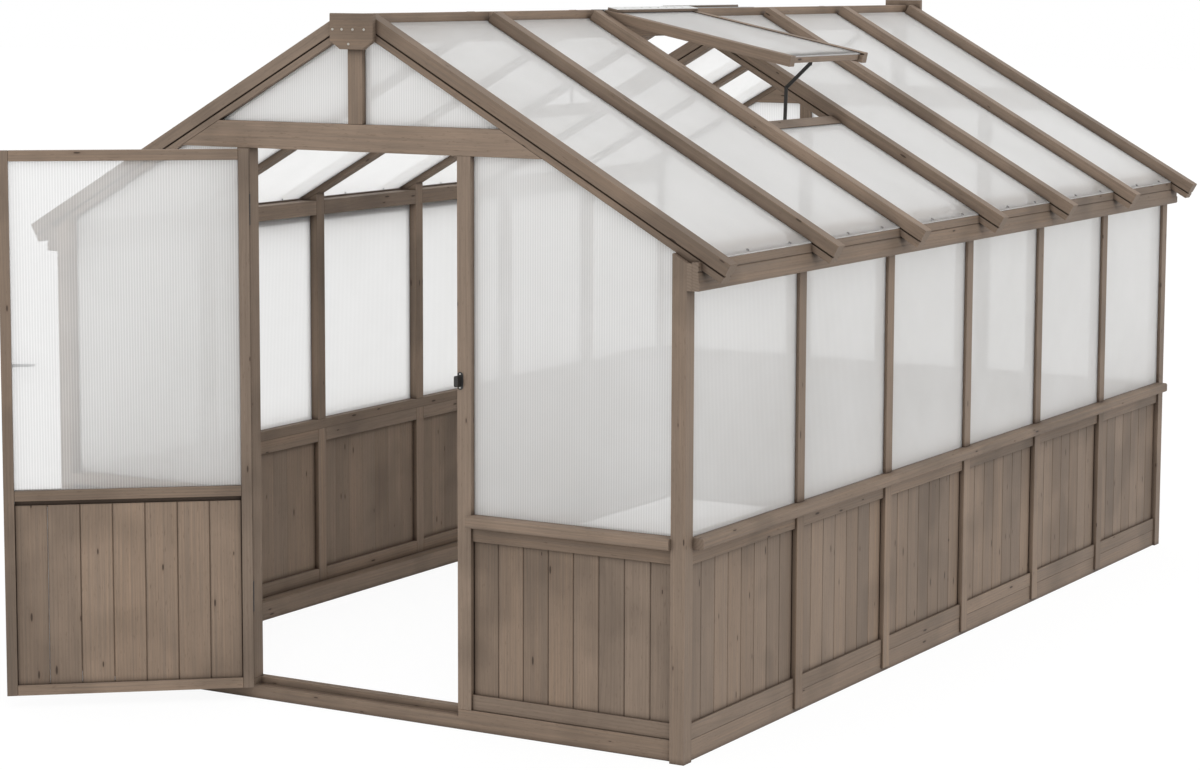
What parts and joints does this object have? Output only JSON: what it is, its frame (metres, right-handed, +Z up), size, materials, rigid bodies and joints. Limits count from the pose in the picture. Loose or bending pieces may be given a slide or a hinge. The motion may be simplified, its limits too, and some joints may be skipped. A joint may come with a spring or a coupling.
{
  "type": "wooden greenhouse",
  "caption": "Timber greenhouse with boarded lower walls, twin-wall panes, gable roof, a hinged door and hinged roof vents held by folding stays.",
  "frame": {"origin": "on the ground, under the middle of the door wall's frame, on the front sill's underside", "axes": "+X to the right seen from outside the door wall, +Y into the house along its length, +Z up"},
  "size_m": [2.445, 4.2868, 2.068],
  "materials": {
    "wood": "grey-brown stain, satin",
    "twin_wall_sheet": "translucent twin-wall sheet",
    "bright_screw": "zinc plated",
    "perforated_strip": "mill",
    "black_metal": "black, satin",
    "grey_metal": "grey, satin"
  },
  "bodies": {
    "house": {"corner_posts_left": "wood", "corner_posts_right": "wood", "base_sills_long": "wood", "base_sills_short": "wood", "wall_studs_left": "wood", "wall_studs_right": "wood", "wall_rails_left": "wood", "wall_rails_right": "wood", "wall_boards_left": "wood", "wall_boards_right": "wood", "sill_cap_left": "wood", "sill_cap_right": "wood", "header_rails_left": "wood", "header_rails_right": "wood", "eave_boards_left": "wood", "eave_boards_right": "wood", "wall_panes_left": "twin_wall_sheet", "wall_panes_right": "twin_wall_sheet", "front_jambs": "wood", "front_rails": "wood", "front_boards_left": "wood", "front_boards_right": "wood", "front_caps": "wood", "front_panes": "twin_wall_sheet", "back_studs": "wood", "back_rails": "wood", "back_boards": "wood", "back_caps": "wood", "back_panes": "twin_wall_sheet", "gable_frames": "wood", "ridge_beam": "wood", "ridge_plates": "wood", "plate_screws": "bright_screw", "rafters_left": "wood", "rafters_right": "wood", "roof_sheets_left": "twin_wall_sheet", "roof_sheets_right": "twin_wall_sheet", "sheet_screws": "bright_screw", "vent_trimmers": "wood", "vent_hinges": "grey_metal", "stay_base_brackets": "black_metal", "latch_keeper": "black_metal", "hinge_leaves_jamb": "black_metal"},
    "door": {"hinge_leaves_door": "black_metal", "door_frame": "wood", "door_boards": "wood", "door_pane": "twin_wall_sheet"},
    "lever": {"door_lever": "grey_metal"},
    "vent_right": {"vent_frame_right": "wood", "vent_sheet_right": "twin_wall_sheet", "vent_strip_right": "perforated_strip", "vent_bracket_right": "grey_metal"},
    "vent_left": {"vent_frame_left": "wood", "vent_sheet_left": "twin_wall_sheet", "vent_strip_left": "perforated_strip", "vent_bracket_left": "grey_metal"},
    "lower_link_right": {"stay_lower_link_right": "black_metal"},
    "upper_link_right": {"stay_upper_link_right": "black_metal"},
    "lower_link_left": {"stay_lower_link_left": "black_metal"},
    "upper_link_left": {"stay_upper_link_left": "black_metal"}
  },
  "joints": [
    {"name": "door_hinge", "type": "hinge", "parent": "house", "child": "door", "pos_m": [-0.3785, -0.0275, 0.848], "axis": [0, 0, 1], "range_deg": [-10, 140]},
    {"name": "lever_turn", "type": "hinge", "parent": "door", "child": "lever", "pos_m": [-0.9188, -0.48739, 1.018], "axis": [-0.6428, 0.766, 0], "range_deg": [0, 45]},
    {"name": "vent_hinge_right", "type": "hinge", "parent": "house", "child": "vent_right", "pos_m": [0.052, 1.581, 2.047], "axis": [0, 1, 0], "range_deg": [0, 17.74]},
    {"name": "stay_foot_right", "type": "hinge", "parent": "house", "child": "lower_link_right", "pos_m": [0.58299, 1.56, 1.68806], "axis": [0, -1, 0], "range_deg": [-0.5, 54.6]},
    {"name": "stay_head_right", "type": "hinge", "parent": "vent_right", "child": "upper_link_right", "pos_m": [0.67129, 1.56, 1.88109], "axis": [0, 1, 0], "range_deg": [-0.5, 56.1]},
    {"name": "vent_hinge_left", "type": "hinge", "parent": "house", "child": "vent_left", "pos_m": [-0.052, 2.191, 2.047], "axis": [0, -1, 0], "range_deg": [0, 17.74]},
    {"name": "stay_foot_left", "type": "hinge", "parent": "house", "child": "lower_link_left", "pos_m": [-0.58299, 2.17, 1.68806], "axis": [0, 1, 0], "range_deg": [-0.5, 54.6]},
    {"name": "stay_head_left", "type": "hinge", "parent": "vent_left", "child": "upper_link_left", "pos_m": [-0.67129, 2.17, 1.88109], "axis": [0, -1, 0], "range_deg": [-0.5, 56.1]}
  ],
  "couplings": [
    {"joint": "stay_foot_right", "follows": "vent_hinge_right", "ratio": 3.0483},
    {"joint": "stay_head_right", "follows": "vent_hinge_right", "ratio": 3.13},
    {"joint": "stay_foot_left", "follows": "vent_hinge_left", "ratio": 3.0483},
    {"joint": "stay_head_left", "follows": "vent_hinge_left", "ratio": 3.13}
  ]
}
